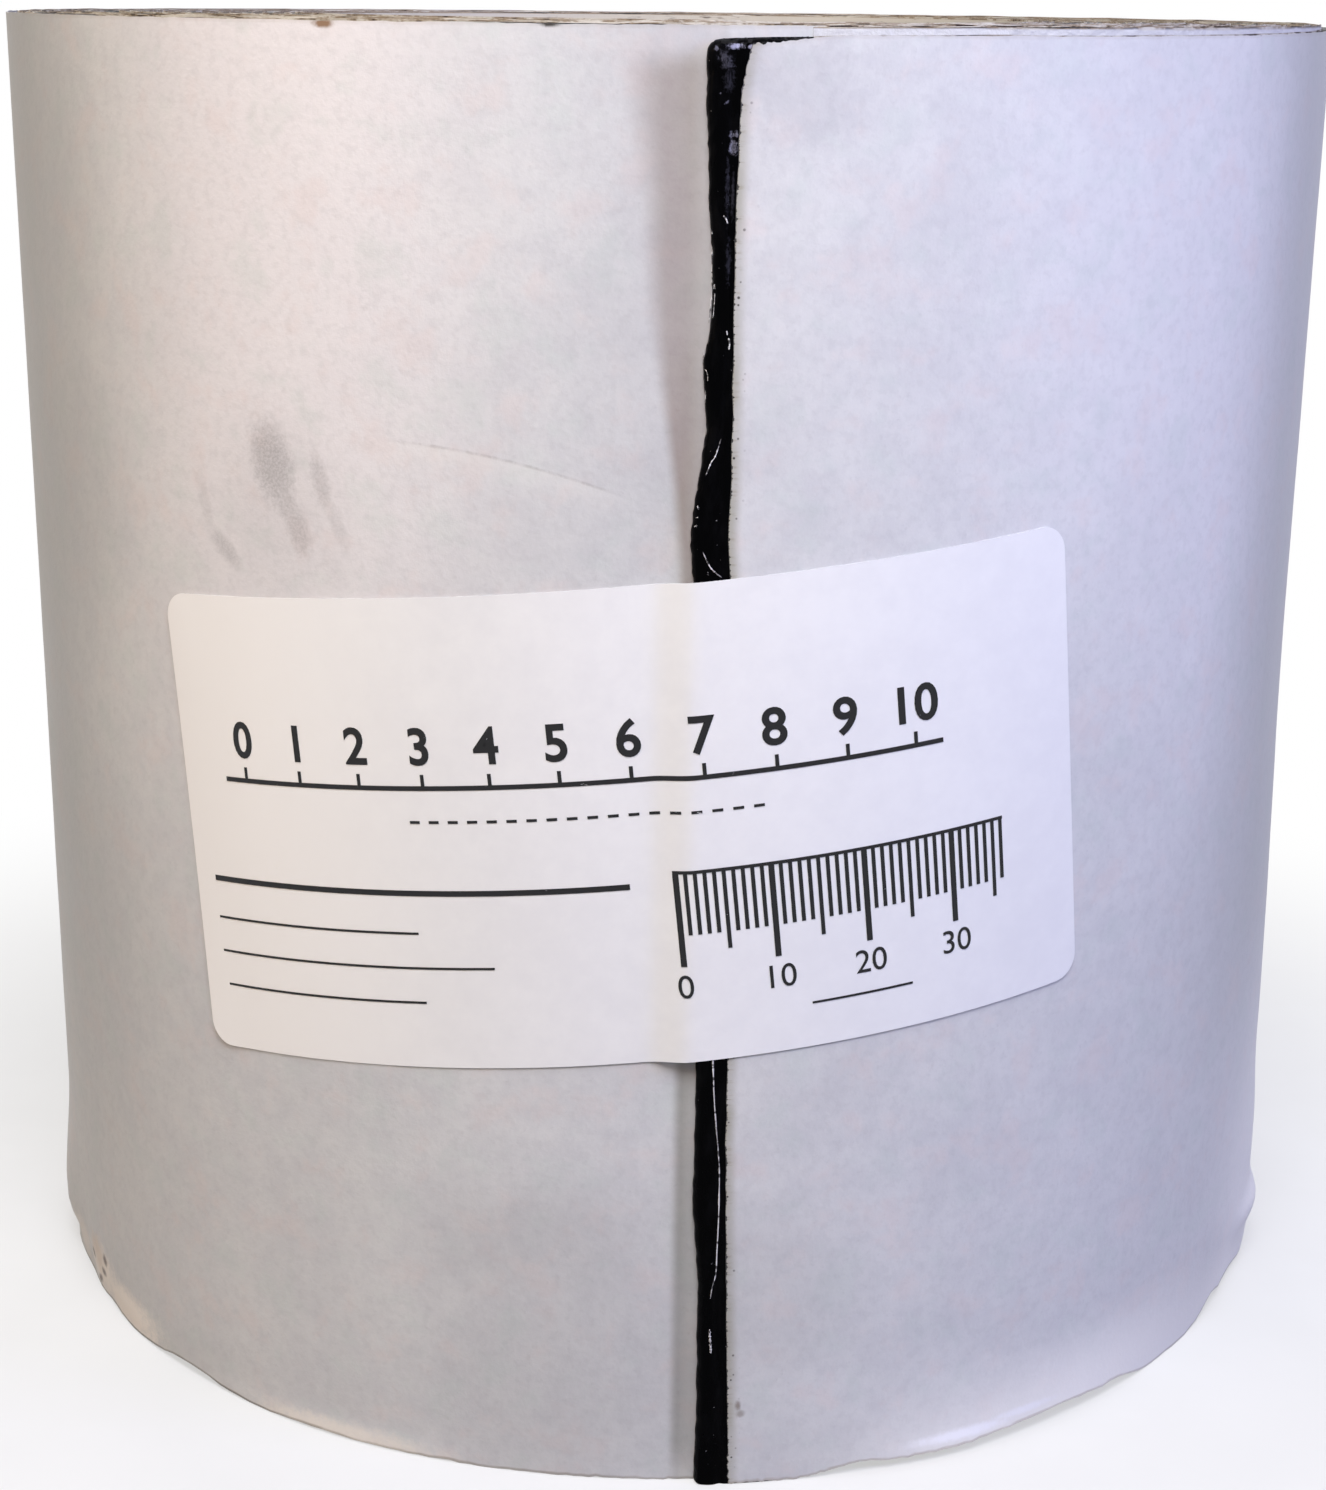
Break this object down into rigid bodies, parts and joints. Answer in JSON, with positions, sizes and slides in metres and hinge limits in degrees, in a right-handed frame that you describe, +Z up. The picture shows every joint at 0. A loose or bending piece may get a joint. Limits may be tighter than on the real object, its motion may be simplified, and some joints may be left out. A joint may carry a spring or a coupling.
{
  "type": "roll of roof sealing tape",
  "caption": "Upright roll of black self-adhesive sealing tape with a white release liner outside, a stepped tail with a bare strip of compound, an open bore and a paper label over the tail.",
  "frame": {"origin": "the bore's axis in the bottom end face, on which the roll stands", "axes": "+Z up along the bore; -Y towards the tail's end, whose step lies in the half plane x = 0, y < 0; +X to the right as the label is seen"},
  "size_m": [0.1556, 0.1563, 0.1524],
  "materials": {
    "compound": "gloss",
    "liner": "satin",
    "label": "matte"
  },
  "bodies": {
    "root": {"tape_roll": "compound", "release_liner": "liner", "label": "label"}
  },
  "joints": []
}
